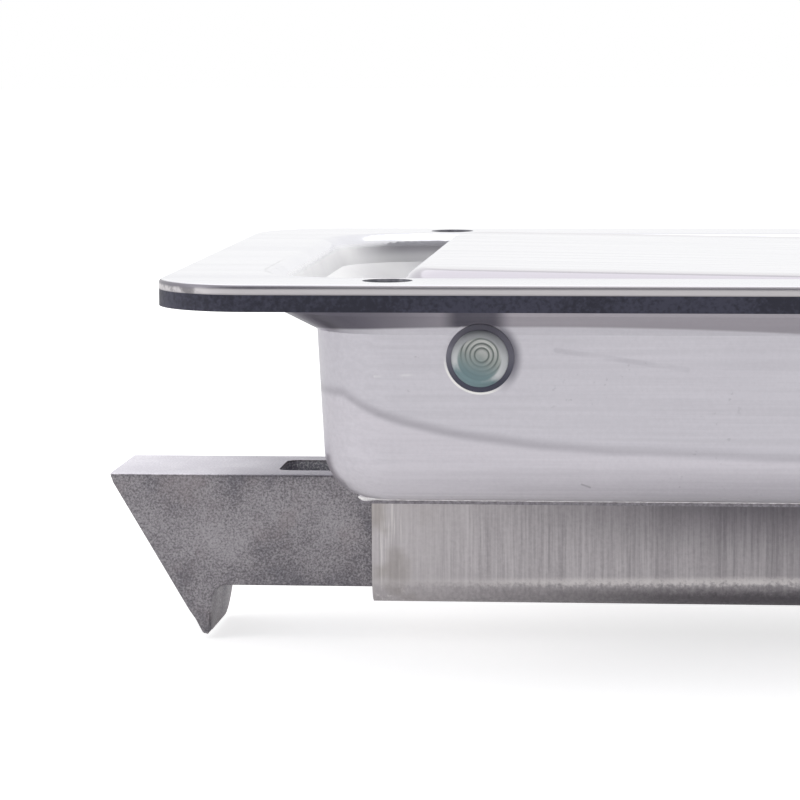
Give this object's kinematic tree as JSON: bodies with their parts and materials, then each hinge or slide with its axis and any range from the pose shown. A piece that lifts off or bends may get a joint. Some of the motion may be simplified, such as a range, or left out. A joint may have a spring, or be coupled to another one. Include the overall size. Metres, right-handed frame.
{
  "type": "paddle latch",
  "caption": "Flush paddle latch: stainless tray and hinged pull paddle over a spring-loaded slam bolt in a steel channel.",
  "frame": {"origin": "centre of the four mounting holes on the gasket's underside, where the latch rests on the panel's outer face", "axes": "+Z out of the panel towards the hand, +X from the bolt's nose towards the finger recess, Y along the pivot pin"},
  "size_m": [0.1522, 0.107, 0.0498],
  "materials": {
    "stainless_steel": "pressed stainless sheet, polished on top and lightly drawn on the walls",
    "polished_stainless": "polished stainless sheet",
    "gasket_rubber": "matt black neoprene",
    "zinc_plated_steel": "bright zinc plate on steel",
    "zinc_plated_pin": "zinc plate with a faint green passivation",
    "cast_zinc": "as-cast and tumbled zinc",
    "channel_steel": "drawn steel with vertical marks",
    "spring_wire": "drawn spring wire",
    "nylon": "natural nylon"
  },
  "bodies": {
    "frame": {"tray": "stainless_steel", "gasket": "gasket_rubber", "pivot_pin": "zinc_plated_pin", "pivot_pin_washer": "zinc_plated_pin", "floor_grommet": "gasket_rubber", "bolt_channel": "channel_steel", "channel_liner": "nylon", "channel_end_plate": "channel_steel", "spring_guide_rod": "zinc_plated_steel", "spring_seat_washer": "zinc_plated_steel", "bolt_spring": "spring_wire"},
    "paddle": {"paddle_plate": "polished_stainless", "paddle_carrier": "zinc_plated_steel", "pivot_bush_front": "nylon", "pivot_bush_rear": "nylon", "spacer_tube_front": "zinc_plated_steel", "spacer_tube_rear": "zinc_plated_steel", "drive_arm": "cast_zinc", "paddle_spring": "spring_wire"},
    "bolt": {"bolt": "cast_zinc"}
  },
  "joints": [
    {"name": "paddle_hinge", "type": "hinge", "parent": "frame", "child": "paddle", "pos_m": [-0.0315, 0, -0.0066], "axis": [0, -1, 0], "range_deg": [0, 30], "stiffness_Nm_per_rad": 0.3, "springref_deg": -34.38, "deforming": ["paddle_spring"]},
    {"name": "bolt_slide", "type": "slide", "parent": "frame", "child": "bolt", "axis": [1, 0, 0], "range_m": [0, 0.0125], "stiffness_N_per_m": 350, "springref_m": -0.02, "deforming": ["bolt_spring"]}
  ],
  "couplings": [
    {"joint": "bolt_slide", "follows": "paddle_hinge", "m_per_rad": 0.023727}
  ]
}
